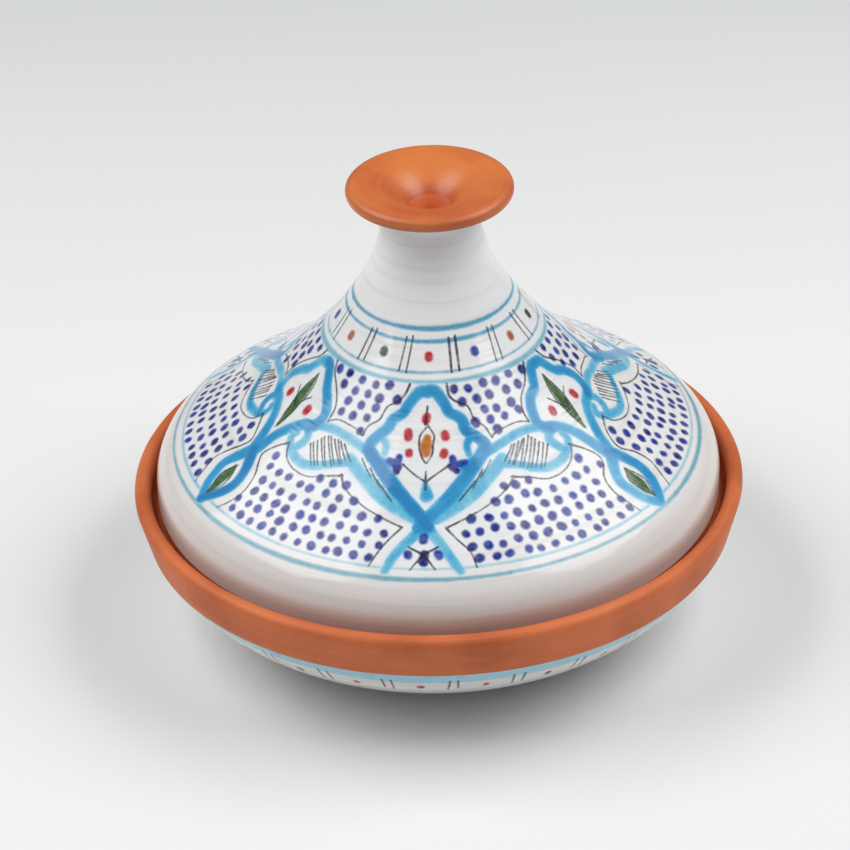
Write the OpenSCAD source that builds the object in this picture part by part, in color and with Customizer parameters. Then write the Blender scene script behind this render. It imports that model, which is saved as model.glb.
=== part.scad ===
// Tagine pot: a shallow earthenware dish with a ledge inside its rim, and a tall conical
// lid that drops onto the ledge. Every piece is turned about the Z axis, and each outline
// is its half-section as [radius, height] points. The dish stands on z = 0.

/* [Dish] */
// Diameter over the rim
rim_d = 300; // [240:1:380]
// Height of the rim above the table
dish_h = 74; // [61:1:95]
// Thickness of the bowl's wall and floor
dish_wall = 8; // [6:0.5:10]
// Thickness of the rim, which is rounded over the top
rim_t = 8; // [5:0.5:9]
// Height of the bare clay band, down from the top of the rim
band_h = 23; // [18:0.5:28]
// How far the band draws in from the rim to its lower edge
band_taper = 5; // [0:0.5:6]
// How far the band stands proud of the bowl's clay
band_step = 1.4; // [1:0.1:2]
// Depth of the lid's ledge below the top of the rim
ledge_depth = 11; // [8:0.5:14]
// Width of the lid's ledge
ledge_w = 12.5; // [10:0.5:16]

/* [Foot ring] */
// Outer diameter of the foot ring
foot_d = 146; // [110:1:170]
// Width of the foot ring's clay
foot_w = 12; // [8:0.5:16]
// Height of the foot ring
foot_h = 4.5; // [3:0.5:7]
// Chamfer on the foot ring's lower edges
foot_chamfer = 1.2; // [0.5:0.1:2]

/* [Lid] */
// Radial play between the lid's skirt and the rim
lid_play = 4; // [3:0.5:7]
// Gap between the lid's seat and the ledge
seat_gap = 0.3; // [0.1:0.1:0.5]
// Thickness of the lid's wall
lid_wall = 6.5; // [5:0.5:8]
// Height of the upright skirt
skirt_h = 14; // [10:0.5:20]
// Height of the rounded shoulder over the skirt
shoulder_h = 19; // [14:0.5:22]
// Width of the rounded shoulder
shoulder_w = 13; // [9:0.5:16]
// Height of the painted cone
cone_h = 58; // [45:1:75]
// Radius at the top of the cone, where the collar starts
collar_r = 53.5; // [46:0.5:62]
// Height of the collar and the neck together
neck_h = 67; // [55:1:80]
// Radius at the neck's waist
waist_r = 23.5; // [18:0.5:25]
// Height of the flare from the waist up to the knob
flare_h = 6; // [5:0.5:10]
// Radius at the top of the flare
neck_r = 25.5; // [22:0.5:30]
// Height of the clay left solid at the top of the neck
plug_h = 24; // [18:1:30]

/* [Knob] */
// Diameter over the knob's lip
knob_d = 80; // [64:1:100]
// Height of the knob above the neck
knob_h = 12; // [10:0.5:15]
// Thickness of the rounded lip
lip_t = 7; // [5:0.5:8]
// Depth of the cup, from the lip down into the neck
cup_depth = 19; // [16:0.5:22]
// Radius of the cup's throat at the bottom
throat_r = 6.5; // [5:0.5:9]

/* [Glaze] */
// Thickness of each fired glaze coat
glaze_t = 0.6; // [0.4:0.1:0.8]
// Height left bare above the lid's seat, and below the ledge
bare_h = 5; // [3:0.5:7]
// Height left bare above the foot ring
foot_bare_h = 2.5; // [2:0.5:4]

/* [Hidden] */
$fn = 128;

clay = "#c8693a";
glaze = "#eeeeea";

// Slopes where the curves start and end, in degrees from the horizontal
bowl_rim_slope = 62;
bowl_foot_slope = 11;
floor_slope = 4;
cone_foot_slope = 29.5;
collar_slope = 50;
flare_slope = 62;
lip_under_slope = 15;
lip_top_slope = 3;
throat_slope = 74;
// How far a curve's handles reach towards the corner where its end tangents meet
fullness = 0.64;
curve_steps = 10;
arc_steps = 8;

// Dish, from the rim down
rim_r = rim_d / 2;
rim_in_r = rim_r - rim_t;
ledge_z = dish_h - ledge_depth;
ledge_in_r = rim_in_r - ledge_w;
ledge_round = 2;
band_z = dish_h - band_h;
band_r = rim_r - band_taper;
bowl_r = band_r - band_step;
foot_r = foot_d / 2;
base_margin = 4;
base_r = foot_r + base_margin;
base_edge = 1;
floor_r = base_r - dish_wall;
floor_z = foot_h + dish_wall;

// Lid, from the seat up
lid_r = rim_in_r - lid_play;
seat_z = ledge_z + seat_gap;
skirt_z = seat_z + skirt_h;
shoulder_z = skirt_z + shoulder_h;
shoulder_r = lid_r - shoulder_w;
collar_z = shoulder_z + cone_h;
neck_z = collar_z + neck_h;
waist_z = neck_z - flare_h;
hollow_z = neck_z - plug_h;

// Knob
knob_z = neck_z + knob_h;
lip_r = knob_d / 2 - lip_t / 2;
lip_z = knob_z - lip_t / 2;
cup_z = knob_z - cup_depth;

// ---- Paths ----

function heading(angle) = [cos(angle), sin(angle)];
function unit(v) = v / norm(v);
function rest(path) = [for (i = [1:len(path) - 1]) path[i]];
function backwards(path) = [for (i = [len(path) - 1:-1:0]) path[i]];

// Where the line from a along one heading meets the line through b along another
function meeting(a, a_way, b, b_way) =
    a + a_way * ((b.x - a.x) * b_way.y - (b.y - a.y) * b_way.x) / (a_way.x * b_way.y - a_way.y * b_way.x);

// Smooth curve from a to b, whose end tangents run through their meeting point
function curve(a, a_angle, b, b_angle) =
    let (c = meeting(a, heading(a_angle), b, heading(b_angle)),
         p = a + fullness * (c - a),
         q = b + fullness * (c - b))
    [for (i = [0:curve_steps]) let (t = i / curve_steps, u = 1 - t)
        u * u * u * a + 3 * u * u * t * p + 3 * u * t * t * q + t * t * t * b];

function arc(centre, radius, from, to) =
    [for (i = [0:arc_steps]) centre + radius * heading(from + (to - from) * i / arc_steps)];

// The same path moved sideways by d, to the left as it is walked
function beside(path, d) =
    let (last = len(path) - 1)
    [for (i = [0:last])
        let (before = unit(path[max(i, 1)] - path[max(i, 1) - 1]),
             after = unit(path[min(i + 1, last)] - path[min(i + 1, last) - 1]),
             side = [-before.y - after.y, before.x + after.x])
        path[i] + 2 * d * side / (side * side)];

// The part of a falling path between two heights, cut exactly at both
function slice(path, top, bottom) =
    concat(cut(path, top), [for (p = path) if (p.y <= top && p.y >= bottom) p], cut(path, bottom));
function cut(path, z) =
    [for (i = [1:len(path) - 1])
        let (a = path[i - 1], b = path[i])
        if (a.y > z && b.y < z) a + (b - a) * (a.y - z) / (a.y - b.y)];

// Lid's clay, walked down its outer face from the neck to the seat
lid_path = concat(
    curve([neck_r, neck_z], 180 + flare_slope, [waist_r, waist_z], 270),
    rest(curve([waist_r, waist_z], -90, [collar_r, collar_z], -collar_slope)),
    rest(curve([collar_r, collar_z], -collar_slope, [shoulder_r, shoulder_z], -cone_foot_slope)),
    rest(curve([shoulder_r, shoulder_z], -cone_foot_slope, [lid_r, skirt_z], -90)),
    [[lid_r, seat_z]]);
lid_in_path = beside(lid_path, -lid_wall);
lid_glaze_z = seat_z + bare_h;

// Knob's cup, walked down from the top of the lip into the neck
cup_path = curve(
    [lip_r, lip_z] + lip_t / 2 * heading(90 + lip_top_slope), 180 + lip_top_slope,
    [throat_r, cup_z], 180 + throat_slope);

// Bowl's clay, walked down its outer face from the band to the base
bowl_path = concat(
    curve([bowl_r, band_z], 180 + bowl_rim_slope, [base_r, foot_h + base_edge], 180 + bowl_foot_slope),
    [[base_r, foot_h]]);
bowl_glaze_z = foot_h + foot_bare_h;

// Bowl's hollow, walked down from the ledge to the floor
hollow_path = concat(
    arc([ledge_in_r + ledge_round, ledge_z - ledge_round], ledge_round, 90, 180),
    rest(curve([ledge_in_r, ledge_z - ledge_round], 180 + bowl_rim_slope,
               [floor_r, floor_z], 180 + floor_slope)));
hollow_glaze_z = ledge_z - bare_h;

module turned(outline) rotate_extrude() polygon(outline);

// A coat on one side of a path, between two heights
module coat(path, d, top, bottom)
    turned(concat(slice(path, top, bottom), backwards(slice(beside(path, d), top, bottom))));

// ---- Dish ----

module dish_body() color(clay) turned(concat(
    [[0, foot_h]],
    backwards(bowl_path),
    [[band_r, band_z]],
    arc([rim_r - rim_t / 2, dish_h - rim_t / 2], rim_t / 2, 0, 180),
    [[rim_in_r, ledge_z]],
    hollow_path,
    [[0, floor_z]]));

module foot_ring() color(clay) turned([
    [foot_r - foot_w + foot_chamfer, 0],
    [foot_r - foot_chamfer, 0],
    [foot_r, foot_chamfer],
    [foot_r, foot_h],
    [foot_r - foot_w, foot_h],
    [foot_r - foot_w, foot_chamfer]]);

module dish_outer_glaze() color(glaze) coat(bowl_path, glaze_t, band_z, bowl_glaze_z);

module dish_inner_glaze() color(glaze) turned(concat(
    slice(hollow_path, hollow_glaze_z, floor_z),
    [[0, floor_z], [0, floor_z + glaze_t]],
    backwards(slice(beside(hollow_path, -glaze_t), hollow_glaze_z, floor_z + glaze_t))));

// ---- Lid ----

module lid_body() color(clay) turned(concat(
    [[0, cup_z]],
    backwards(slice(cup_path, neck_z, cup_z)),
    lid_path,
    backwards(slice(lid_in_path, hollow_z, seat_z)),
    [[0, hollow_z]]));

module lid_knob() color(clay) turned(concat(
    curve([neck_r, neck_z], flare_slope,
          [lip_r, lip_z] + lip_t / 2 * heading(lip_under_slope - 90), lip_under_slope),
    rest(arc([lip_r, lip_z], lip_t / 2, lip_under_slope - 90, 90 + lip_top_slope)),
    rest(slice(cup_path, knob_z, neck_z))));

module lid_outer_glaze() color(glaze) coat(lid_path, glaze_t, neck_z, lid_glaze_z);

module lid_inner_glaze() color(glaze) turned(concat(
    [[0, hollow_z]],
    slice(lid_in_path, hollow_z, lid_glaze_z),
    backwards(slice(beside(lid_in_path, -glaze_t), hollow_z - glaze_t, lid_glaze_z)),
    [[0, hollow_z - glaze_t]]));

dish_body();
foot_ring();
dish_outer_glaze();
dish_inner_glaze();
lid_body();
lid_knob();
lid_outer_glaze();
lid_inner_glaze();
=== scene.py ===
"""Looks of the tagine pot: turned clay, white glaze, and a lid painted with a brush.

Outlines, strokes and widths are in millimetres, and become metres where a mesh is made.
Angles of the painting are in degrees, from the front of the pot, anticlockwise seen from above.
"""

import math

import bpy
import numpy as np
from mathutils import Euler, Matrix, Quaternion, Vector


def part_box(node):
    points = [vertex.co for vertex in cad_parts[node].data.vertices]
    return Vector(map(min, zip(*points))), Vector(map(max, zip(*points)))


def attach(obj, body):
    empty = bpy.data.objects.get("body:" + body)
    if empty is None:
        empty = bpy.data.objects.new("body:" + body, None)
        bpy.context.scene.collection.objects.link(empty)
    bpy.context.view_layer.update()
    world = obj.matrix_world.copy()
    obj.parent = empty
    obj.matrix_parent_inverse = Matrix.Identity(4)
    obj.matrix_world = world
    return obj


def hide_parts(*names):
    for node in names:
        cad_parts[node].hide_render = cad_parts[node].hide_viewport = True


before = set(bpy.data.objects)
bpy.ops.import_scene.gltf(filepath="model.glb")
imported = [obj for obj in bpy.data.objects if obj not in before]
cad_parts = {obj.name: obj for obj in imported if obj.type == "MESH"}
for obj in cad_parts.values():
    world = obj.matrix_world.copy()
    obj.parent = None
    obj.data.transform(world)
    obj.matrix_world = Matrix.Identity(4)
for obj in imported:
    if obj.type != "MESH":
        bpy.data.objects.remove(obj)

MM = 0.001
FAR = 9.0  # distance in mm at which a mark no longer counts
FINE_TURNS = 1280  # points round a painted glaze, whose points carry the painting
EDGE_TURNS = 384  # round a piece whose edge shows
PLAIN_TURNS = 256  # round any other piece
rng = np.random.default_rng(12)
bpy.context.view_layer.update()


# ---- Sizes ----

def low(node):
    """The low corner of a CAD node's box, in mm."""
    return [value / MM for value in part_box(node)[0]]


def high(node):
    """The high corner of a CAD node's box, in mm."""
    return [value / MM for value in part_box(node)[1]]


rim_r, _, rim_z = high("dish_body")
base_z = low("dish_body")[2]
band_z = high("dish_outer_glaze")[2]
bowl_glaze_z = low("dish_outer_glaze")[2]
hollow_glaze_z = high("dish_inner_glaze")[2]
floor_z = low("dish_inner_glaze")[2]
foot_r, _, foot_h = high("foot_ring")
lid_r, _, neck_z = high("lid_body")
seat_z = low("lid_body")[2]
lid_glaze_z = low("lid_outer_glaze")[2]
hollow_z = high("lid_inner_glaze")[2]
knob_r, _, knob_z = high("lid_knob")

# Sizes that a box doesn't show, as in the CAD source
rim_t = 8.0
ledge_depth = 11.0
ledge_w = 12.5
ledge_round = 2.0
band_taper = 5.0
band_step = 1.4
dish_wall = 8.0
base_margin = 4.0
base_edge = 1.0
foot_w = 12.0
foot_chamfer = 1.2
glaze_t = 0.6
lid_wall = 6.5
skirt_h = 14.0
shoulder_h = 19.0
shoulder_w = 13.0
cone_h = 58.0
collar_r = 53.5
waist_r = 23.5
flare_h = 6.0
neck_r = 25.5
lip_t = 7.0
cup_depth = 19.0
throat_r = 6.5

# Slopes where the curves start and end, in degrees from the horizontal
bowl_rim_slope = 62
bowl_foot_slope = 11
floor_slope = 4
cone_foot_slope = 29.5
collar_slope = 50
flare_slope = 62
lip_under_slope = 15
lip_top_slope = 3
throat_slope = 74

rim_in_r = rim_r - rim_t
ledge_z = rim_z - ledge_depth
ledge_in_r = rim_in_r - ledge_w
band_r = rim_r - band_taper
bowl_r = band_r - band_step
base_r = foot_r + base_margin
floor_r = base_r - dish_wall
skirt_z = seat_z + skirt_h
shoulder_z = skirt_z + shoulder_h
shoulder_r = lid_r - shoulder_w
collar_z = shoulder_z + cone_h
waist_z = neck_z - flare_h
lip_r = knob_r - lip_t / 2
lip_z = knob_z - lip_t / 2
cup_z = knob_z - cup_depth


# ---- Outlines ----

def heading(degrees):
    return np.array([math.cos(math.radians(degrees)), math.sin(math.radians(degrees))])


def cross(a, b):
    return a[0] * b[1] - a[1] * b[0]


def curve(a, a_angle, b, b_angle, steps=40, fullness=0.64):
    """Smooth curve from a to b, whose end tangents run through the point where they meet."""
    a, b, along, back = np.array(a), np.array(b), heading(a_angle), heading(b_angle)
    corner = a + along * (cross(b - a, back) / cross(along, back))
    p, q = a + fullness * (corner - a), b + fullness * (corner - b)
    t = np.linspace(0, 1, steps + 1)[:, None]
    return (1 - t) ** 3 * a + 3 * (1 - t) ** 2 * t * p + 3 * (1 - t) * t ** 2 * q + t ** 3 * b


def arc(centre, radius, start, end, steps=20):
    return np.array([np.array(centre) + radius * heading(start + (end - start) * i / steps)
                     for i in range(steps + 1)])


def joined(*paths):
    """One path from several, without the points that repeat where they meet."""
    points = np.concatenate([np.array(path, float).reshape(-1, 2) for path in paths])
    apart = np.linalg.norm(np.diff(points, axis=0), axis=1) > 1e-4
    return points[np.r_[True, apart]]


def beside(path, distance):
    """The path moved sideways, to the left as it is walked."""
    step = np.gradient(path, axis=0)
    step /= np.linalg.norm(step, axis=1)[:, None]
    return path + distance * np.c_[-step[:, 1], step[:, 0]]


def between(path, top, bottom):
    """The part of a falling path between two heights."""
    inside = path[(path[:, 1] < top - 0.01) & (path[:, 1] > bottom + 0.01)]
    ends = [[np.interp(-z, -path[:, 1], path[:, 0]), z] for z in (top, bottom)]
    return joined([ends[0]], inside, [ends[1]])


def spaced(path, gap):
    """The same path with its points a fixed distance apart, or a distance given by a function."""
    length = np.r_[0, np.cumsum(np.linalg.norm(np.diff(path, axis=0), axis=1))]
    marks = [0.0]
    while marks[-1] < length[-1]:
        at = [np.interp(marks[-1], length, path[:, k]) for k in (0, 1)]
        marks.append(marks[-1] + (gap(*at) if callable(gap) else gap))
    marks = np.array(marks) * length[-1] / marks[-1]
    return np.c_[np.interp(marks, length, path[:, 0]), np.interp(marks, length, path[:, 1])]


# Each path falls from its top to its bottom
lid_path = joined(
    curve([neck_r, neck_z], 180 + flare_slope, [waist_r, waist_z], 270),
    curve([waist_r, waist_z], -90, [collar_r, collar_z], -collar_slope),
    curve([collar_r, collar_z], -collar_slope, [shoulder_r, shoulder_z], -cone_foot_slope),
    curve([shoulder_r, shoulder_z], -cone_foot_slope, [lid_r, skirt_z], -90),
    [[lid_r, seat_z]])
lid_in_path = beside(lid_path, -lid_wall)
cup_path = curve([lip_r, lip_z] + lip_t / 2 * heading(90 + lip_top_slope), 180 + lip_top_slope,
                 [throat_r, cup_z], 180 + throat_slope)
bowl_path = joined(
    curve([bowl_r, band_z], 180 + bowl_rim_slope, [base_r, foot_h + base_edge], 180 + bowl_foot_slope),
    [[base_r, foot_h]])
hollow_path = joined(
    arc([ledge_in_r + ledge_round, ledge_z - ledge_round], ledge_round, 90, 180),
    curve([ledge_in_r, ledge_z - ledge_round], 180 + bowl_rim_slope, [floor_r, floor_z], 180 + floor_slope))


# ---- Meshes ----

THROWING_PITCHES = (2.3, 3.7, 6.1, 11.0, 19.0)
HIDDEN_SHARE = 0.08  # of its true length that a hidden face gets in the UV island
ISLAND_ROOM = 2.02  # two radii of the island, and a little margin
SHARP_ANGLE = 38


def throwing_lines(path, depth, seed):
    """How far the potter's fingers pressed in at each point of a path, in mm."""
    length = np.r_[0, np.cumsum(np.linalg.norm(np.diff(path, axis=0), axis=1))]
    draw = np.random.default_rng(seed)
    press = np.zeros(len(path))
    for pitch in THROWING_PITCHES:
        press += np.sin(2 * math.pi * (length / pitch + draw.random())) * draw.uniform(0.5, 1)
    return depth * (press - press.max()) / np.ptp(press)


def turned(name, outline, turns, hidden_from=None):
    """A closed mesh, turned about the Z axis from an outline of [radius, height] points.

    It has one round UV island, whose radius is the length along the outline. Faces from
    the outline's point hidden_from on are never seen, and take little room there.
    """
    count = len(outline)
    angle = np.arange(turns) * 2 * math.pi / turns
    around = np.c_[np.sin(angle), -np.cos(angle)]
    poles = outline[:, 0] < 1e-6
    first = np.cumsum(np.r_[0, np.where(poles, 1, turns)])
    points = np.concatenate([
        [[0, 0, z]] if pole else np.c_[r * around, np.full(turns, z)]
        for (r, z), pole in zip(outline, poles)])

    closed = not (poles[0] and poles[-1])
    step = np.linalg.norm(np.diff(np.r_[outline, outline[:1]], axis=0), axis=1)
    if hidden_from is not None:
        step[hidden_from:] *= HIDDEN_SHARE
    reach = outline[0, 0] + np.r_[0, np.cumsum(step)]
    reach /= ISLAND_ROOM * reach[count if closed else count - 1]

    faces, uvs = [], []
    turn = np.arange(turns)
    after = (turn + 1) % turns
    for i in range(count if closed else count - 1):
        j = (i + 1) % count
        if poles[i] and poles[j]:
            continue  # a stretch of the axis, which has no faces
        top = [first[i] + (0 if poles[i] else k) for k in (turn, after)]
        bottom = [first[j] + (0 if poles[j] else k) for k in (turn, after)]
        # Each corner is the numbers of its points, its row, and its place round the turn
        corners = [(top[0], i, turn), (bottom[0], i + 1, turn),
                   (bottom[1], i + 1, after), (top[1], i, after)]
        if poles[i]:
            corners.pop()
        elif poles[j]:
            corners.pop(2)
        faces += np.stack([np.broadcast_to(c[0], turns) for c in corners], 1).tolist()
        uvs.append(np.stack([0.5 + reach[c[1]] * around[c[2]] for c in corners], 1).reshape(-1, 2))

    mesh = bpy.data.meshes.new(name)
    mesh.from_pydata((points * MM).tolist(), [], faces)
    island = mesh.uv_layers.new(name="OFBake")
    island.data.foreach_set("uv", np.concatenate(uvs).ravel().astype(np.float32))
    mesh.update()
    mesh.shade_smooth()
    mesh.set_sharp_from_angle(angle=math.radians(SHARP_ANGLE))
    piece = bpy.data.objects.new(name, mesh)
    bpy.context.scene.collection.objects.link(piece)
    return piece


def finished(piece, body, node, material):
    """Puts a piece in place of its CAD node, on that node's body."""
    piece.data.materials.append(material)
    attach(piece, body)
    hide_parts(node)


def coat(path, top, bottom, gap, depth, seed):
    """A thrown glaze coat on a path: its outer face from the top down, and its hidden face back up."""
    outer = spaced(between(beside(path, glaze_t), top, bottom), gap)
    outer = outer + np.c_[throwing_lines(outer, depth, seed), np.zeros(len(outer))]
    inner = spaced(between(path, top, bottom), 6.0)[::-1]
    return outer, inner


# ---- Node materials ----

def srgb(*rgb):
    """A colour given as 0 to 255, in the linear values that shaders use."""
    return tuple(c / 12.92 if c <= 0.04045 else ((c + 0.055) / 1.055) ** 2.4
                 for c in (value / 255 for value in rgb)) + (1.0,)


TIN_WHITE = srgb(241, 240, 238)
COOL_WHITE = srgb(235, 236, 237)
THROWN_LINE = srgb(218, 213, 209)
# Warmer glaze near the lid's lower edge: thinner glaze over the clay, plus a painted reflection of the
# terracotta rim
THIN_GLAZE_AND_RIM_REFLECTION = srgb(216, 198, 188)
IRON_SPECK = srgb(150, 120, 100)
BLOOM = srgb(176, 206, 238)
INK = srgb(46, 44, 58)
GROG = srgb(120, 56, 30)
# Painted shade: a deeper clay colour down in the knob's cup and throat
PAINTED_THROAT_SHADE = srgb(156, 36, 4)
THROAT_SHADE_RISE = 0.014  # how far over the bottom of the knob's cup the painted throat shade starts, in metres
THROAT_SHADE_FADE = 0.013
GLAZE_SPECULAR = 0.36
THIN_WASH = srgb(156, 208, 226)
# Deeper turquoise, and the coats over which each comes in
FULL_WASHES = (
    (srgb(92, 182, 214), 0.0, 0.55),
    (srgb(34, 152, 204), 0.45, 0.95),
    (srgb(4, 124, 184), 0.9, 1.6))


class Finish:
    """One material, with short calls for the nodes that it is made from."""

    def __init__(self, name):
        self.material = bpy.data.materials.new(name)
        self.material.use_nodes = True
        self.tree = self.material.node_tree
        self.shader = self.tree.nodes["Principled BSDF"]
        self.normal = None

    def feed(self, socket, value):
        """Gives a socket a constant, or another node's output."""
        if isinstance(value, bpy.types.NodeSocket):
            self.tree.links.new(value, socket)
        else:
            socket.default_value = value

    def node(self, kind, sockets, output=0, **settings):
        made = self.tree.nodes.new(kind)
        for key, value in settings.items():
            setattr(made, key, value)
        for key, value in sockets.items():
            self.feed(made.inputs[key], value)
        return made.outputs[output]

    def maths(self, operation, *values):
        return self.node("ShaderNodeMath", dict(enumerate(values)), operation=operation)

    def place(self):
        return self.node("ShaderNodeTexCoord", {}, output="Object")

    def noise(self, scale, detail=2.0, roughness=0.5, vector=None):
        """Noise from about 0 to 1, with scale waves to the metre."""
        return self.node("ShaderNodeTexNoise", {
            "Vector": vector or self.place(), "Scale": scale, "Detail": detail, "Roughness": roughness})

    def turned_place(self, stretch):
        """Coordinates whose patterns run round the pot, as the marks of turning do."""
        spot = self.node("ShaderNodeSeparateXYZ", {"Vector": self.place()})
        x, y, z = (spot.node.outputs[k] for k in range(3))
        squares = self.maths("ADD", self.maths("MULTIPLY", x, x), self.maths("MULTIPLY", y, y))
        radius = self.maths("SQRT", squares)
        return self.node("ShaderNodeCombineXYZ", {
            0: radius, 1: z, 2: self.maths("MULTIPLY", self.maths("ADD", x, y), stretch)})

    def remap(self, value, low_in, high_in, low_out=0.0, high_out=1.0):
        sockets = {"Value": value, "From Min": low_in, "From Max": high_in,
                   "To Min": low_out, "To Max": high_out}
        return self.node("ShaderNodeMapRange", sockets, interpolation_type="SMOOTHSTEP")

    def mix(self, factor, a, b):
        """Colour a, which becomes b as the factor goes from 0 to 1. Sockets 6, 7 and 2 are the colours."""
        return self.node("ShaderNodeMix", {0: factor, 6: a, 7: b}, output=2, data_type="RGBA")

    def attribute(self, name, output="Fac"):
        return self.node("ShaderNodeAttribute", {}, output=output, attribute_name=name)

    def bump(self, height, distance, strength=1.0):
        """Bump from a height in the range 0 to 1, for a relief of the given depth in metres."""
        sockets = {"Height": height, "Distance": distance, "Strength": strength}
        if self.normal is not None:
            sockets["Normal"] = self.normal
        self.normal = self.node("ShaderNodeBump", sockets)

    def done(self, colour, roughness, specular):
        self.feed(self.shader.inputs["Base Color"], colour)
        self.feed(self.shader.inputs["Roughness"], roughness)
        self.shader.inputs["Specular IOR Level"].default_value = specular
        if self.normal is not None:
            self.feed(self.shader.inputs["Normal"], self.normal)
        return self.material


def clay_finish(name, deep, body, pale, rough, line_depth, specular, throat_shade_from=None):
    """Fired red clay: cloudy tone, fine turned lines, and specks of sand and grog.

    Below the height given as the last argument, in metres, the clay gets a painted shade that is deeper in
    colour, as in the knob's cup.
    """
    f = Finish(name)
    cloud = f.noise(22.0, 3.0)
    lines = f.noise(650.0, 3.0, 0.6, f.turned_place(0.05))
    grain = f.noise(1900.0, 2.0)
    colour = f.mix(f.remap(cloud, 0.3, 0.7), body, deep)
    colour = f.mix(f.remap(lines, 0.45, 0.75, 0.0, 0.22), colour, pale)
    colour = f.mix(f.remap(lines, 0.42, 0.25, 0.0, 0.18), colour, deep)
    sand = f.node("ShaderNodeTexVoronoi", {"Vector": f.place(), "Scale": 420.0})
    colour = f.mix(f.remap(sand, 0.16, 0.06, 0.0, 0.25), colour, pale)
    grog = f.noise(520.0, 1.0)
    colour = f.mix(f.remap(grog, 0.72, 0.80, 0.0, 0.3), colour, GROG)
    if throat_shade_from is not None:
        # Painted shade: the clay darkens down in the knob's throat
        height = f.node("ShaderNodeSeparateXYZ", {"Vector": f.place()}, output=2)
        inside = f.remap(height, throat_shade_from, throat_shade_from - THROAT_SHADE_FADE, 0.0, 0.95)
        colour = f.mix(inside, colour, PAINTED_THROAT_SHADE)
    f.bump(lines, line_depth)
    f.bump(grain, 0.00012, 0.6)
    roughness = f.remap(f.maths("ADD", grain, cloud), 0.6, 1.4, rough - 0.06, rough + 0.08)
    return f.done(colour, roughness, specular)


def glaze_colour(f):
    """White tin glaze, warmer near the height of the lid's lower edge, where it thins over the clay and
    where a painted reflection of the dish's terracotta rim is added.

    It returns the throwing lines as well, which the glaze's skin follows.
    """
    colour = f.mix(f.remap(f.noise(14.0, 2.0), 0.35, 0.65), TIN_WHITE, COOL_WHITE)
    lines = f.noise(240.0, 2.0, 0.5, f.turned_place(0.04))
    colour = f.mix(f.remap(lines, 0.5, 0.75, 0.0, 0.45), colour, THROWN_LINE)
    height = f.node("ShaderNodeSeparateXYZ", {"Vector": f.place()}, output=2)
    near_edge = f.maths("ABSOLUTE", f.maths("SUBTRACT", height, lid_glaze_z * MM))
    # Warmer near the lid's lower edge: thinner glaze, plus a painted reflection of the terracotta rim
    colour = f.mix(f.remap(near_edge, 0.040, 0.002, 0.0, 0.85), colour, THIN_GLAZE_AND_RIM_REFLECTION)
    specks = f.node("ShaderNodeTexVoronoi", {"Vector": f.place(), "Scale": 95.0, "Randomness": 1.0})
    colour = f.mix(f.remap(specks, 0.04, 0.02, 0.0, 0.2), colour, IRON_SPECK)
    return colour, lines


def glaze_gloss(f, lines):
    """The glaze's skin: throwing lines that show through it, a slow ripple, and tiny pinholes."""
    f.bump(lines, 0.00025, 0.6)
    f.bump(f.noise(70.0, 2.0), 0.0006, 0.35)
    pinholes = f.node("ShaderNodeTexVoronoi", {"Vector": f.place(), "Scale": 210.0})
    f.bump(f.remap(pinholes, 0.02, 0.07), 0.00012, 0.5)
    return f.remap(f.noise(60.0, 3.0), 0.3, 0.7, 0.09, 0.16)


def white_glaze():
    f = Finish("white_glaze")
    colour, lines = glaze_colour(f)
    return f.done(colour, glaze_gloss(f, lines), GLAZE_SPECULAR)


def painted_glaze():
    """White glaze with the brush marks that the mesh's attributes hold as distances in mm."""
    f = Finish("painted_glaze")
    colour, lines = glaze_colour(f)
    bleed = f.maths("SUBTRACT", f.noise(750.0, 3.0, 0.6), 0.5)
    drift = f.maths("SUBTRACT", f.noise(170.0, 2.0), 0.5)

    def mark(name, edge, bleed_by, drift_by):
        """How much of a kind of mark shows, from 0 to 1, over a ragged edge some tenths of a mm wide."""
        ragged = f.maths("MULTIPLY_ADD", bleed, bleed_by, f.attribute(name))
        ragged = f.maths("MULTIPLY_ADD", drift, drift_by, ragged)
        return f.remap(ragged, edge, -edge)

    # A faint bloom of colour round each stroke, then the stroke in watery coats
    bloom = f.maths("MULTIPLY", f.remap(f.attribute("turquoise"), 3.2, 0.0), 0.16)
    colour = f.mix(bloom, colour, BLOOM)
    watery = f.maths("SUBTRACT", f.noise(95.0, 4.0, 0.65), 0.5)
    coats = f.maths("MULTIPLY_ADD", watery, 1.7, f.attribute("coats"))
    turquoise = THIN_WASH
    for deeper, start, full in FULL_WASHES:
        turquoise = f.mix(f.remap(coats, start, full), turquoise, deeper)
    colour = f.mix(f.maths("MULTIPLY", mark("turquoise", 0.65, 0.7, 0.5), 0.96), colour, turquoise)

    # Dabs, which are deeper where the paint pooled in their middle
    patchy = f.remap(f.noise(330.0, 2.0), 0.3, 0.7, 0.9, 1.0)
    wet = f.remap(f.attribute("dab"), -0.2, -1.7, 1.0, 0.75)
    dab_colour = f.attribute("dab_colour", "Color")
    dab = f.node("ShaderNodeVectorMath", {0: dab_colour, "Scale": wet}, operation="SCALE")
    colour = f.mix(f.maths("MULTIPLY", mark("dab", 0.75, 0.7, 0.7), patchy), colour, dab)

    worn = f.remap(f.noise(420.0, 2.0), 0.25, 0.6, 0.62, 0.92)
    colour = f.mix(f.maths("MULTIPLY", mark("ink", 0.35, 0.4, 0.25), worn), colour, INK)
    return f.done(colour, glaze_gloss(f, lines), GLAZE_SPECULAR)


# ---- Brush marks ----

def paint(*rgb):
    return np.array(srgb(*rgb)[:3])


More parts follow.
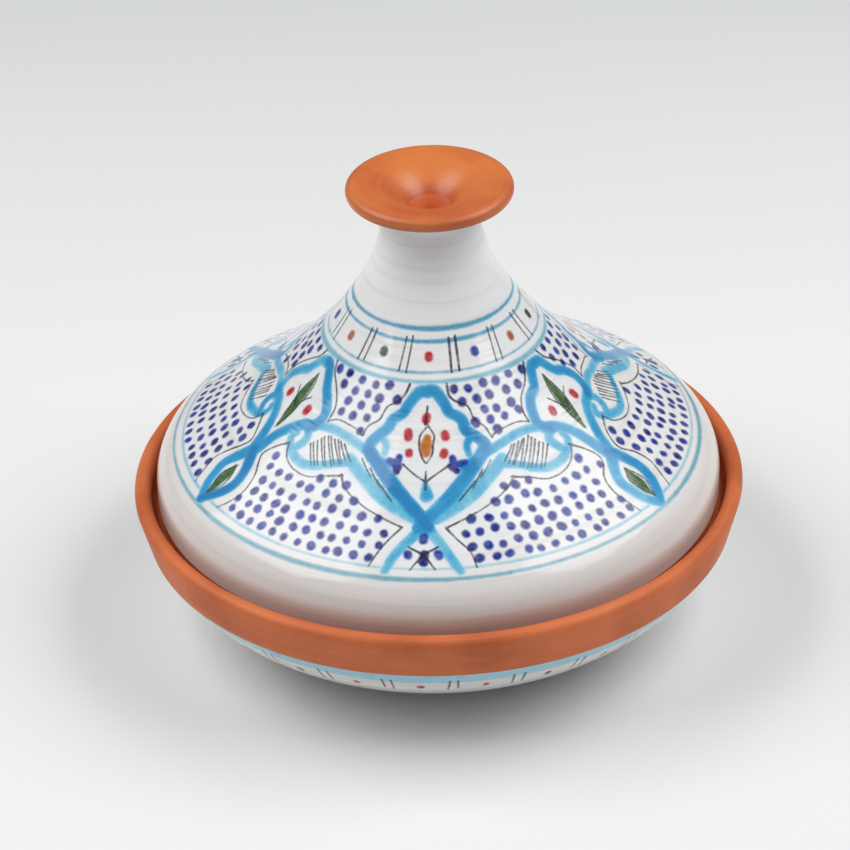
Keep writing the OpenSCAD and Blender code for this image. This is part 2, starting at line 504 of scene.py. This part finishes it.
COBALT = paint(26, 64, 168)
INDIGO = paint(8, 30, 128)
RED = paint(206, 34, 54)
LEAF = paint(70, 112, 52)
MOSS = paint(32, 54, 38)
ORANGE = paint(214, 126, 30)
RUST = paint(186, 106, 62)
TEAL = paint(86, 166, 200)
HAZE = paint(142, 198, 216)
BRUSH = 1.2  # how far a full brush spreads, for the half width of its stroke
CROSSING = 0.1  # how much of the thinner layer adds to the thicker where strokes cross
PEN_LEAST, PEN_SPREAD = 0.16, 0.62  # half width of the lightest ink line, and how it grows with pressure
ALONG_SLOPE = 1.2  # mm along the lid for a mm of radius, about


def flowing(path, gap=1.4):
    """A smooth line through given (degrees, radius) points, with its points gap mm apart.

    It returns the share of the whole length at each point as well.
    """
    path = np.array(path, float)
    if len(path) > 2:
        padded = np.r_[[2 * path[0] - path[1]], path, [2 * path[-1] - path[-2]]]
        spans = []
        for p0, p1, p2, p3 in zip(padded, padded[1:], padded[2:], padded[3:]):
            t = np.linspace(0, 1, 9)[:-1, None]
            spans.append(0.5 * (2 * p1 + (p2 - p0) * t + (2 * p0 - 5 * p1 + 4 * p2 - p3) * t ** 2
                                + (3 * p1 - p0 - 3 * p2 + p3) * t ** 3))
        path = np.r_[np.concatenate(spans), path[-1:]]
    scale = np.array([math.radians(1) * path[:, 1].mean(), ALONG_SLOPE])
    length = np.r_[0, np.cumsum(np.linalg.norm(np.diff(path * scale, axis=0), axis=1))]
    marks = np.linspace(0, length[-1], max(2, int(length[-1] / gap) + 1))
    line = np.c_[np.interp(marks, length, path[:, 0]), np.interp(marks, length, path[:, 1])]
    return line, marks / marks[-1]


class Canvas:
    """A turned face that is painted on: for each of its points, the distance to each kind of mark."""

    def __init__(self, rows, turns):
        self.rows, self.turns = rows, turns
        self.angle = np.arange(turns) * 2 * math.pi / turns
        self.spots = np.stack([np.outer(rows[:, 0], np.sin(self.angle)),
                               -np.outer(rows[:, 0], np.cos(self.angle)),
                               np.outer(rows[:, 1], np.ones(turns))], -1)
        size = (len(rows), turns)
        self.length = np.r_[0, np.cumsum(np.linalg.norm(np.diff(rows, axis=0), axis=1))]
        self.turquoise, self.dab, self.ink = (np.full(size, FAR) for _ in range(3))
        self.coats = np.zeros(size)
        self.colour = np.ones(size + (3,)) * COBALT
        order = np.argsort(rows[:, 0])
        self.by_radius = rows[order], order

    def place(self, degrees, radius):
        """Points on the face, at these angles and radii."""
        angle = np.radians(degrees)
        heights = np.interp(radius, self.by_radius[0][:, 0], self.by_radius[0][:, 1])
        return np.stack([radius * np.sin(angle), -radius * np.cos(angle), heights], -1)

    def distance(self, path, half_width, reach=3.5):
        """Distance to a stroke's edge, negative inside it, worked out as far as reach past the edge.

        The half width is one number, or several that are spread evenly from end to end.
        """
        line, share = flowing(path)
        half = np.atleast_1d(half_width)
        half = np.interp(share, np.linspace(0, 1, len(half)), half)
        ends = self.place(line[:, 0], line[:, 1])
        field = np.full((len(self.rows), self.turns), FAR)
        for i in range(len(ends) - 1):
            a, b, across = ends[i], ends[i + 1], half.max() + reach
            radii = sorted(line[i:i + 2, 1])
            rows = np.flatnonzero((self.rows[:, 0] > radii[0] - across)
                                  & (self.rows[:, 0] < radii[1] + across))
            turn = np.radians(sorted(line[i:i + 2, 0])) * self.turns / (2 * math.pi)
            spread = across / max(radii[0] - across, 8) * self.turns / (2 * math.pi)
            columns = np.arange(math.floor(turn[0] - spread), math.ceil(turn[1] + spread) + 1)
            window = np.ix_(rows, columns % self.turns)
            spot, along = self.spots[window] - a, b - a
            t = np.clip(spot @ along / max(along @ along, 1e-9), 0, 1)
            width = half[i] + (half[i + 1] - half[i]) * t
            gap = np.linalg.norm(spot - t[..., None] * along, axis=-1) - width
            field[window] = np.minimum(field[window], gap)
        return field

    def pile(self, field, layer):
        """Adds a layer of turquoise. Where strokes cross, the colour is a little deeper."""
        self.turquoise = np.minimum(self.turquoise, field)
        self.coats = np.maximum(self.coats, layer) + CROSSING * np.minimum(self.coats, layer)

    def wash(self, path, half_width, load=1.0):
        """A broad turquoise stroke, thickest along its middle."""
        field = self.distance(path, BRUSH * np.atleast_1d(half_width))
        self.pile(field, load * np.clip(0.4 - field / 3.2, 0, 1))

    def stain(self, field, colour):
        """Adds a mark in a colour of its own, over those under it."""
        self.colour[field < self.dab] = colour
        self.dab = np.minimum(self.dab, field)

    def spot(self, path, half_width, colour):
        self.stain(self.distance(path, half_width), colour)

    def line(self, path, pressure):
        half_width = PEN_LEAST + PEN_SPREAD * np.atleast_1d(pressure)
        self.ink = np.minimum(self.ink, self.distance(path, half_width))

    def ring(self, radius, half_width, waver=0.25):
        """Distance to the edge of a line that is painted while the pot turns."""
        phase = rng.uniform(0, 2 * math.pi, 3)
        wander = sum(np.sin(k * self.angle + p) / k for k, p in zip((1, 2, 5), phase)) * waver
        middle = np.interp(radius, self.by_radius[0][:, 0], self.length[self.by_radius[1]])
        thick = half_width * (1 + 0.25 * np.sin(3 * self.angle + phase[0]))
        return np.abs(self.length[:, None] - middle - wander) - thick

    def write(self, piece, start=0):
        """Stores the marks on the piece's vertices, from the vertex where this canvas's rows start."""
        count = len(piece.data.vertices)

        def stored(name, values, kind="FLOAT", socket="value", fill=FAR):
            width = values.shape[2:]
            full = np.full((count,) + width, fill, np.float32)
            full[start:start + values.shape[0] * values.shape[1]] = values.reshape((-1,) + width)
            piece.data.attributes.new(name, kind, "POINT").data.foreach_set(socket, full.ravel())

        stored("turquoise", self.turquoise)
        stored("dab", self.dab)
        stored("ink", self.ink)
        stored("coats", self.coats, fill=0)
        opaque = np.ones(self.dab.shape + (1,))
        stored("dab_colour", np.concatenate([self.colour, opaque], -1), "FLOAT_COLOR", "color", fill=1)


# ---- The lid's painting ----
# Flowers and leaves take turns round the lid, with a wing from each flower to the leaf on either side.
# A stroke is (points, half widths, coats or colour), and an ink line is (points, pressure). The points
# are degrees from the axis of its flower or leaf, and radius in mm.

def mirrored(strokes):
    """The strokes, each with its mirror image across the motif's axis."""
    return [(np.array(path) * (side, 1), *rest) for path, *rest in strokes for side in (1, -1)]


FLOWER_WASHES = [
    ([(0, 88), (0, 91), (0, 94)], (0.9, 2.0, 2.9), 1.1),
] + mirrored([
    ([(0, 56), (4, 56.5), (7.5, 60), (10, 63.5), (14, 66), (15.5, 70), (19, 73), (21, 77), (18, 81),
      (13, 83)], (2.8, 2.3, 2.5, 2.6, 2.6), 1.0),
    ([(20, 75), (17, 73), (14.5, 75), (14.5, 78.5)], (1.4, 1.7, 1.5), 0.8),
    ([(20.5, 78), (14, 85), (7.5, 93.5), (2, 101), (-1, 107)], (2.8, 3.2, 2.8), 1.2),
    ([(26, 83), (18, 89), (10, 97), (3, 103)], (2.6, 3.2, 2.4), 0.45),
    ([(-1, 104), (3, 111), (6, 118), (8, 126)], (2.6, 2.2, 1.9), 0.7),
])
FLOWER_LINES = [
    ([(0, 61), (0, 67)], (0.7, 0.9)),
    ([(0, 84), (0, 91)], (0.5, 0.9)),
] + mirrored([
    ([(0, 68), (2.5, 71), (2.8, 74.5), (2, 78), (0, 81)], (0.4, 0.7, 0.5)),
    ([(0, 88.5), (3, 86), (7.5, 82)], (0.7, 0.5, 0.6)),
    ([(-3, 115), (0, 118.5), (3, 125)], (0.7, 0.9, 0.4)),
    ([(26.5, 90), (24, 94), (18, 99), (12, 103), (5.5, 107)], (0.8, 0.45, 0.45, 0.7)),
    ([(5.5, 107), (8, 112), (10.5, 118), (11.5, 125)], (0.7, 0.5, 0.5)),
    ([(9, 54.3), (10.5, 58), (14, 60.5), (18, 62.5), (19.5, 67), (23, 70), (24.5, 74)],
     (0.9, 0.6, 0.5, 0.6)),
    ([(21.5, 82), (17, 88)], 0.4),
    ([(18, 85), (13.5, 91.5)], 0.5),
    ([(14.5, 89), (9.5, 96.5)], (0.4, 0.6, 0.35)),
])
FLOWER_SPOTS = [
    ([(0, 64.5), (0, 65.5)], 2.1, RED),
    ([(0, 72), (0, 75), (0, 77)], (1.9, 3.0, 2.5), ORANGE),
    ([(0, 110.5), (0, 112)], 2.2, COBALT),
    ([(0, 118), (0, 121.5)], (2.1, 2.6), INDIGO),
] + mirrored([
    ([(7, 70.5), (7, 71.5)], 2.1, RED),
    ([(6, 77), (6, 78)], 2.0, RED),
    ([(9.5, 82.5), (9, 79.5)], (2.2, 1.7), COBALT),
    ([(9.5, 82), (12.5, 81)], (2.2, 1.7), COBALT),
    ([(8.5, 82.5), (9.5, 84.5)], (2.0, 1.7), INDIGO),
    ([(3.5, 118), (3.5, 119)], 2.1, COBALT),
])
LEAF_WASHES = mirrored([
    ([(0, 57), (3.5, 57.5), (6.5, 60.5), (9, 63.5), (13, 66), (16, 70), (16, 75), (13, 78.5)],
     (2.6, 2.4, 2.5, 2.5), 1.0),
    ([(15, 77), (9.5, 79), (5.5, 83), (2.5, 89), (0.5, 99)], (2.8, 2.5, 2.6, 3.2), 0.85),
    ([(0, 98), (3, 104), (4.3, 110), (4, 116), (2.2, 121.5), (0, 126.5)], (3.3, 2.7, 2.7, 2.4), 1.15),
])
LEAF_LINES = mirrored([
    ([(0, 76), (3, 71.5), (5.5, 69)], (0.4, 0.6, 0.4)),
    ([(0, 61.5), (2, 66), (2.4, 71), (1.8, 77), (0, 86)], (0.2, 0.5, 0.4, 0.2)),
    ([(0, 106.5), (1.5, 111.5), (1.8, 115.5), (1.2, 119.5), (0, 123.5)], (0.2, 0.6, 0.4, 0.2)),
    ([(6, 54.5), (8.5, 57.5), (12.5, 60.5), (17, 64), (19.5, 68.5), (19.5, 73)], (0.8, 0.5, 0.5, 0.7)),
    ([(10, 87), (6.5, 91), (4, 96), (5, 100), (7.5, 105), (8.5, 112), (7.5, 119), (6, 124.5)],
     (0.8, 0.5, 0.7, 0.5, 0.4)),
])
LEAF_SPOTS = [
    ([(0, 107), (0, 111), (0, 115.5), (0, 119.5), (0, 123)], (0.6, 2.7, 3.1, 2.2, 0.6), LEAF),
    ([(0, 62), (0, 66), (0, 71), (0, 77), (0, 85)], (0.6, 2.5, 3.0, 2.4, 0.7), LEAF),
] + mirrored([
    ([(7.5, 73), (7.5, 74)], 2.3, RED),
])
WING_WASHES = mirrored([
    ([(20, 79.5), (26, 77), (32, 75.5), (38, 75), (43, 76), (47, 78)], 2.0, 0.65),
    ([(24.5, 84.5), (30, 86.5), (35, 89.5), (40, 91), (45, 90), (49, 87.5), (51, 84.5), (50, 82)],
     (1.7, 1.9, 2.1, 2.2, 1.7), 0.6),
    ([(48, 88.5), (45.5, 85), (45, 81.5), (47, 78.5)], (1.9, 2.2, 2.0), 0.85),
])
WING_LINES = mirrored([
    ([(26.5, 90), (31, 92), (37, 95), (43, 94.5), (48, 91.5), (50, 87)], (0.8, 0.4, 0.45, 0.6)),
    ([(24.5, 74), (27, 72.5), (32, 71.5), (37, 71.5), (40.5, 73)], (0.5, 0.4, 0.5)),
])
# What a motif encloses, where no dab goes: (points, half widths)
FLOWER_INSIDES = [
    ([(0, 63), (0, 92)], (10, 17, 9)),
    ([(-13, 74), (13, 74)], 7),
    ([(0, 108), (0, 124)], (3, 9)),
]
LEAF_INSIDES = [
    ([(0, 64), (0, 84)], (12, 15, 8)),
    ([(0, 106), (0, 122)], 3.5),
]
WING_INSIDES = mirrored([([(28, 81), (44, 83)], 5)])
HATCHES = 11  # ink lines that fill a wing
HATCH_STARTS = [(30, 78.5), (37.5, 77.5), (42.5, 83)]  # of the first, middle and last line
HATCH_ENDS = [(25.5, 84), (31, 88), (37.5, 90.5)]
MOTIFS = 3  # flowers round the lid, with as many leaves between them
FRONT = -4.0  # where the first flower is
TO_LEAF = 180 / MOTIFS
LOOSENESS = (0.22, 0.2)  # of the painter's hand, in degrees and mm
DAB_ROWS = (56.0, 60.0, 64.0, 68.0, 72.2, 77.0, 82.4, 88.0, 93.4, 98.8, 104.4, 110.0, 115.6, 121.2)
DAB_GAP = 7.4  # from dab to dab along a row
DAB_RADIUS = 2.15
HALO = ((60, 84, 90), (1.6, 2.2, 3.6))  # radii on the lid, and how far dabs stay from turquoise there
BOXES = 13  # of the collar's frieze
BOX_FRONT = -3.5  # where the middle of the first box is
BOX_TOP, BOX_BOTTOM = 41.0, 50.6
LID_RINGS = ((38.4, 1.1, TEAL), (41.7, 0.9, TEAL), (50.5, 0.5, TEAL), (53.6, 1.2, HAZE),
             (124.8, 0.6, HAZE), (129.0, 1.1, HAZE * 0.8))  # radius, half width and colour
DISH_BAND = (142.0, 3.6)  # radius and half width
TICK_PAIRS = 28  # round the dish
TICK_FRONT = 1.5  # where the first pair is
TICK_TOP, TICK_BOTTOM = 140.6, 133.0


def hatching(canvas, side, moved):
    """Slanted ink lines that fill a wing."""
    for share in np.linspace(0, 2, HATCHES):
        start, end = ([np.interp(share, range(3), column) for column in zip(*points)]
                      for points in (HATCH_STARTS, HATCH_ENDS))
        canvas.line(moved(np.array([start, end]) * (side, 1)), (0.6, 0.3))


def paint_motifs(canvas):
    """Paints the flowers, leaves and wings, and returns how far each point is from what they enclose."""
    reserved = np.full(canvas.ink.shape, FAR)

    def placed_at(axis):
        def moved(path):
            loose = rng.normal(0, 1, (len(path), 2)) * LOOSENESS
            return np.array(path) + loose + (axis, 0)
        return moved

    for turn in range(MOTIFS):
        flower = placed_at(FRONT + 2 * TO_LEAF * turn)
        leaf = placed_at(FRONT + 2 * TO_LEAF * turn + TO_LEAF)
        for moved, washes, lines, spots in ((flower, FLOWER_WASHES, FLOWER_LINES, FLOWER_SPOTS),
                                            (leaf, LEAF_WASHES, LEAF_LINES, LEAF_SPOTS),
                                            (flower, WING_WASHES, WING_LINES, [])):
            for path, width, load in washes:
                canvas.wash(moved(path), width, load * rng.uniform(0.7, 1.35))
            for path, width in lines:
                canvas.line(moved(path), width)
            for path, width, colour in spots:
                canvas.spot(moved(path), width, colour * rng.uniform(0.85, 1.15))
        for side in (1, -1):
            hatching(canvas, side, flower)
        for moved, insides in ((flower, FLOWER_INSIDES), (leaf, LEAF_INSIDES), (flower, WING_INSIDES)):
            for path, width in insides:
                reserved = np.minimum(reserved, canvas.distance(moved(path), width, reach=8.0))
    return reserved


def scatter_dabs(canvas, reserved):
    """Rows of cobalt dabs over the ground between the motifs, clear of the halo that each motif has."""
    halo = np.interp(canvas.rows[:, 0], *HALO)[:, None]
    room = np.minimum(np.minimum(canvas.turquoise - halo, canvas.ink + 0.3), reserved - 1.5)
    for index, radius in enumerate(DAB_ROWS):
        count = int(2 * math.pi * radius / DAB_GAP)
        row = np.argmin(np.abs(canvas.rows[:, 0] - radius))
        for k in range(count):
            degrees = (k + 0.5 * (index % 2) + rng.normal(0, 0.07)) * 360 / count
            height = radius + rng.normal(0, 0.35)
            size = DAB_RADIUS * rng.uniform(0.85, 1.12)
            tone = rng.beta(1.2, 1.2)
            lean = rng.normal(0, 0.2)
            if room[row, int(round(degrees / 360 * canvas.turns)) % canvas.turns] > 0:
                path = [(degrees, height - 0.2), (degrees + lean, height + 0.2)]
                canvas.spot(path, size, COBALT * (1 - tone) + INDIGO * tone)


def paint_collar(canvas):
    """A frieze of boxes round the neck, with a dot in each and a double line between them."""
    dots = (RED, COBALT, RUST, MOSS)
    for k in range(-(BOXES // 2), BOXES - BOXES // 2):
        middle = BOX_FRONT + k * 360 / BOXES
        edge = middle + 180 / BOXES + rng.normal(0, 0.8)
        gap, lean = rng.uniform(3.9, 5.0), rng.normal(0, 0.7)
        bold = 0.85 if k == 0 else rng.uniform(0.4, 0.6)
        for side in (-0.5, 0.5):
            top = (edge + side * gap - lean, BOX_TOP + rng.normal(0, 0.3))
            bottom = (edge + side * gap + lean, BOX_BOTTOM + rng.normal(0, 0.3))
            canvas.line([top, bottom], (bold, 0.8 * bold))
        canvas.spot([(middle, 45.7), (middle, 46.3)], rng.uniform(1.9, 2.3), dots[k % 4])


def paint_dish(canvas):
    """A pale band under the rim, and below it pairs of short ticks with a small dot between pairs."""
    band = canvas.ring(*DISH_BAND)
    canvas.pile(band, -0.1 * np.clip(0.7 - band / 1.5, 0, 1))
    for k in range(TICK_PAIRS):
        middle = TICK_FRONT + (k + rng.normal(0, 0.03)) * 360 / TICK_PAIRS
        for side in (-0.9, 0.9):
            top = (middle + side + rng.normal(0, 0.1), TICK_TOP)
            bottom = (middle + side + rng.normal(0, 0.2), TICK_BOTTOM + rng.normal(0, 0.5))
            canvas.line([top, bottom], (0.75, 0.55))
        dot = middle + 180 / TICK_PAIRS
        canvas.spot([(dot, 136.2), (dot, 135.2)], rng.uniform(1.5, 1.9), (RED, MOSS, RUST)[k % 3])


# ---- The pieces ----

def make_lid(materials):
    outer, inner = coat(lid_path, neck_z, lid_glaze_z,
                        lambda r, z: 0.65 if 36 < r < 131.5 and z < waist_z else 1.6,
                        depth=0.12, seed=5)
    glaze = turned("lid_painted_glaze", np.r_[outer, inner], FINE_TURNS, hidden_from=len(outer))
    below = np.argmax(outer[:, 1] < waist_z - 10)
    canvas = Canvas(outer[below:], FINE_TURNS)
    scatter_dabs(canvas, paint_motifs(canvas))
    paint_collar(canvas)
    for radius, half_width, colour in LID_RINGS:
        ring = canvas.ring(radius, half_width)
        canvas.stain(np.maximum(ring, -canvas.turquoise), colour)
    canvas.write(glaze, start=below * FINE_TURNS)
    finished(glaze, "lid", "lid_outer_glaze", materials["painted"])

    well = curve([0, cup_z - 2.5], 0, [throat_r, cup_z], throat_slope, steps=12)
    clay = joined(well, between(cup_path, neck_z, cup_z)[::-1], lid_path,
                  between(lid_in_path, hollow_z, seat_z)[::-1], [[0, hollow_z]])
    finished(turned("lid_clay", clay, PLAIN_TURNS), "lid", "lid_body", materials["clay"])

    under, over = lip_under_slope - 90, lip_top_slope + 90
    knob = joined(
        curve([neck_r, neck_z], flare_slope, [lip_r, lip_z] + lip_t / 2 * heading(under), lip_under_slope),
        arc([lip_r, lip_z], lip_t / 2, under, over),
        between(cup_path, knob_z, neck_z))
    finished(turned("lid_knob_cup", knob, EDGE_TURNS), "lid", "lid_knob",
             materials["knob"])

    skin = joined([[0, hollow_z]], between(lid_in_path, hollow_z, lid_glaze_z),
                  between(beside(lid_in_path, -glaze_t), hollow_z - glaze_t, lid_glaze_z)[::-1],
                  [[0, hollow_z - glaze_t]])
    finished(turned("lid_inside_glaze", skin, PLAIN_TURNS), "lid", "lid_inner_glaze",
             materials["glaze"])


def make_dish(materials):
    clay = joined(
        [[0, base_z]], bowl_path[::-1], [[band_r, band_z]],
        arc([rim_r - rim_t / 2, rim_z - rim_t / 2], rim_t / 2, 0, 180), [[rim_in_r, ledge_z]],
        hollow_path, [[0, floor_z]])
    finished(turned("dish_clay", clay, EDGE_TURNS), "dish", "dish_body", materials["clay"])

    inner_r = foot_r - foot_w
    ring = np.array([[inner_r + foot_chamfer, 0], [foot_r - foot_chamfer, 0], [foot_r, foot_chamfer],
                     [foot_r, foot_h], [inner_r, foot_h], [inner_r, foot_chamfer]])
    finished(turned("dish_foot", ring, PLAIN_TURNS), "dish", "foot_ring", materials["clay"])

    outer, inner = coat(bowl_path, band_z, bowl_glaze_z, lambda r, z: 0.7 if r > 128 else 2.0,
                        depth=0.08, seed=8)
    glaze = turned("dish_outside_glaze", np.r_[outer, inner], FINE_TURNS, hidden_from=len(outer))
    canvas = Canvas(outer, FINE_TURNS)
    paint_dish(canvas)
    canvas.write(glaze)
    finished(glaze, "dish", "dish_outer_glaze", materials["painted"])

    skin = joined(between(hollow_path, hollow_glaze_z, floor_z), [[0, floor_z], [0, floor_z + glaze_t]],
                  between(beside(hollow_path, -glaze_t), hollow_glaze_z, floor_z + glaze_t)[::-1])
    finished(turned("dish_inside_glaze", skin, PLAIN_TURNS), "dish", "dish_inner_glaze",
             materials["glaze"])


# ---- Floor, light and camera ----

def make_floor():
    f = Finish("studio_floor")
    colour = f.mix(f.noise(3.0, 2.0), srgb(240, 240, 238), srgb(236, 236, 235))
    material = f.done(colour, roughness=0.6, specular=0.2)
    mesh = bpy.data.meshes.new("floor")
    half = 8.0
    corners = [(-half, -half, 0), (half, -half, 0), (half, half, 0), (-half, half, 0)]
    mesh.from_pydata(corners, [], [(0, 1, 2, 3)])
    mesh.materials.append(material)
    floor = bpy.data.objects.new("floor", mesh)
    bpy.context.scene.collection.objects.link(floor)


def softbox(name, place, target, size, watts):
    """A soft light at one place, turned towards another."""
    light = bpy.data.lights.new(name, "AREA")
    light.shape = "RECTANGLE"
    light.size, light.size_y = size
    light.energy = watts
    box = bpy.data.objects.new(name, light)
    box.location = place
    box.visible_camera = False
    aim = np.array(target) - np.array(place)
    flat = math.hypot(aim[0], aim[1])
    box.rotation_euler = (math.atan2(flat, -aim[2]), 0, math.atan2(-aim[0], aim[1]))
    bpy.context.scene.collection.objects.link(box)


def make_light():
    """A softbox over either side, and a dim bluish room."""
    for name, x, watts in (("left_box", -0.85, 13.6), ("right_box", 0.85, 14.2)):
        softbox(name, (x, -0.05, 1.2), target=(0, 0, 0.1), size=(1.3, 0.9), watts=watts)
    world = bpy.data.worlds.new("studio")
    world.use_nodes = True
    background = world.node_tree.nodes["Background"].inputs
    background["Color"].default_value = (0.88, 0.94, 1.0, 1)
    background["Strength"].default_value = 0.19
    bpy.context.scene.world = world
    bpy.context.scene.view_settings.view_transform = "Standard"


def make_camera():
    """The photograph's view, from in front and above, with its slight roll and shift."""
    distance = 1.816
    elevation = math.radians(32.31)
    roll = math.radians(-1.77)
    data = bpy.data.cameras.new("camera")
    data.sensor_width = 36.0
    data.lens = 155.7
    data.shift_x, data.shift_y = -0.0155, 0.0497
    data.clip_start, data.clip_end = 0.05, 50.0
    camera = bpy.data.objects.new("camera", data)
    target = np.array([0, 0, rim_z * MM])
    camera.location = target + distance * np.array([0, -math.cos(elevation), math.sin(elevation)])
    tilt = math.pi / 2 - elevation
    camera.rotation_mode = "QUATERNION"
    camera.rotation_quaternion = Euler((tilt, 0, 0)).to_quaternion() @ Quaternion((0, 0, 1), roll)
    bpy.context.scene.collection.objects.link(camera)
    bpy.context.scene.camera = camera


materials = {
    "clay": clay_finish("terracotta", deep=srgb(190, 92, 46), body=srgb(217, 114, 62),
                        pale=srgb(228, 142, 92), rough=0.55, line_depth=0.0002, specular=0.4),
    "knob": clay_finish("oiled_terracotta", deep=srgb(188, 88, 38), body=srgb(211, 118, 56),
                        pale=srgb(224, 144, 88), rough=0.38, line_depth=0.00006, specular=0.6,
                        throat_shade_from=cup_z * MM + THROAT_SHADE_RISE),
    "glaze": white_glaze(),
    "painted": painted_glaze(),
}
make_dish(materials)
make_lid(materials)
make_floor()
make_light()
make_camera()
